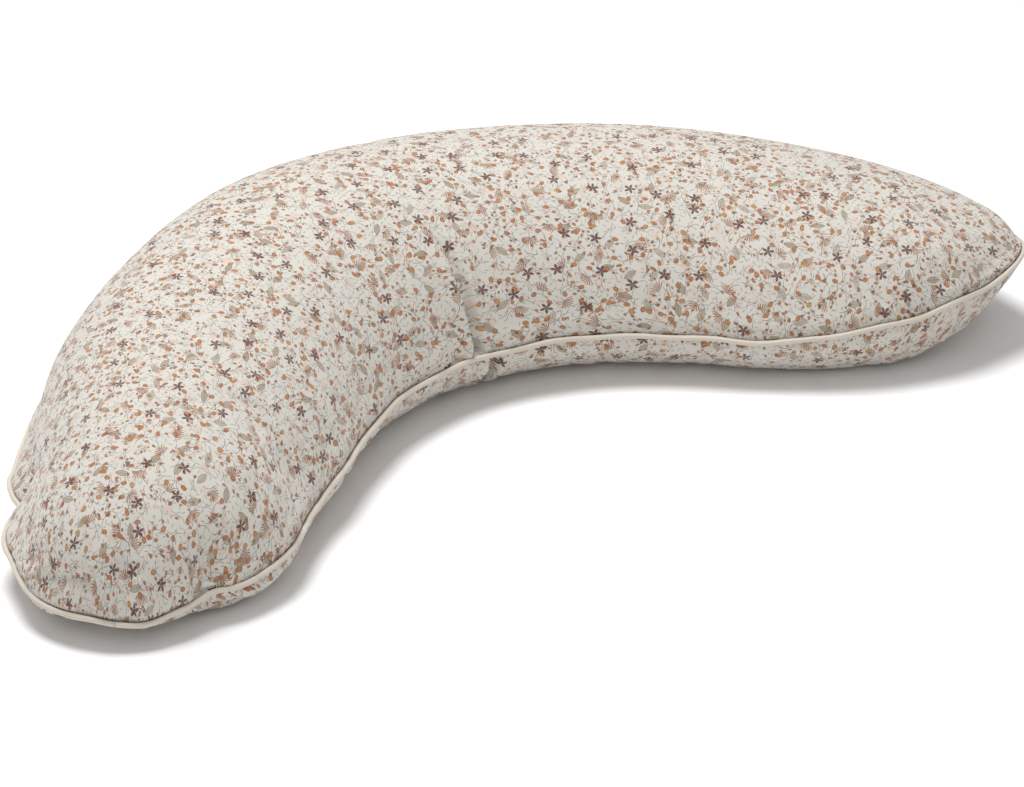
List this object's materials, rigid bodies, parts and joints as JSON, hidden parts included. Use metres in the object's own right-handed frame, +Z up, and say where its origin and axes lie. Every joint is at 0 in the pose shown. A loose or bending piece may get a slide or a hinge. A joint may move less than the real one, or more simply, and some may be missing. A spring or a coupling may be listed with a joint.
{
  "type": "nursing pillow",
  "caption": "Crescent nursing pillow lying flat, with a piped printed cover that zips off its back edge and a filled inner pillow.",
  "frame": {"origin": "bottom centre of the pillow's box, on the surface it lies on", "axes": "+X along the pillow from its left arm to its right arm, +Y from the open bay to the convex back, +Z up"},
  "size_m": [0.8562, 0.3954, 0.152],
  "materials": {
    "printed_cotton": "fine plain weave, off-white ground with a small scattered floral print",
    "piping_cotton": "plain cream bias strip",
    "filler_cord": "loosely twisted undyed cotton",
    "zip_tape": "woven herringbone tape",
    "zip_coil": "semi-gloss moulded coil",
    "zip_metal": "satin plated",
    "case_cotton": "plain undyed cotton",
    "case_thread": "overlocked thread",
    "fibre_filling": "loose fibre",
    "label_tape": "smooth woven tape, blank"
  },
  "bodies": {
    "pillow": {"cover_top_panel": "printed_cotton", "cover_bottom_panel": "printed_cotton", "piping_sleeve": "piping_cotton", "piping_cord": "filler_cord", "zip_tape_upper": "zip_tape", "zip_tape_lower": "zip_tape", "zip_coil_upper": "zip_coil", "zip_coil_lower": "zip_coil", "zip_top_stop_upper": "zip_metal", "zip_top_stop_lower": "zip_metal", "zip_bottom_stop": "zip_metal", "inner_case_top_panel": "case_cotton", "inner_case_bottom_panel": "case_cotton", "inner_case_seam_thread": "case_thread", "filling": "fibre_filling", "care_label": "label_tape"},
    "zip_slider": {"zip_slider_body": "zip_metal"},
    "zip_pull": {"zip_pull_tab": "zip_metal"}
  },
  "joints": [
    {"name": "zip_slider_travel", "type": "hinge", "parent": "pillow", "child": "zip_slider", "pos_m": [0, -0.22934, 0.0337], "axis": [0, 0, 1], "range_deg": [0, 41.5]},
    {"name": "zip_pull_swing", "type": "hinge", "parent": "zip_slider", "child": "zip_pull", "pos_m": [0.15145, 0.16521, 0.0337], "axis": [0.9336, -0.3584, 0], "range_deg": [0, 120]}
  ]
}
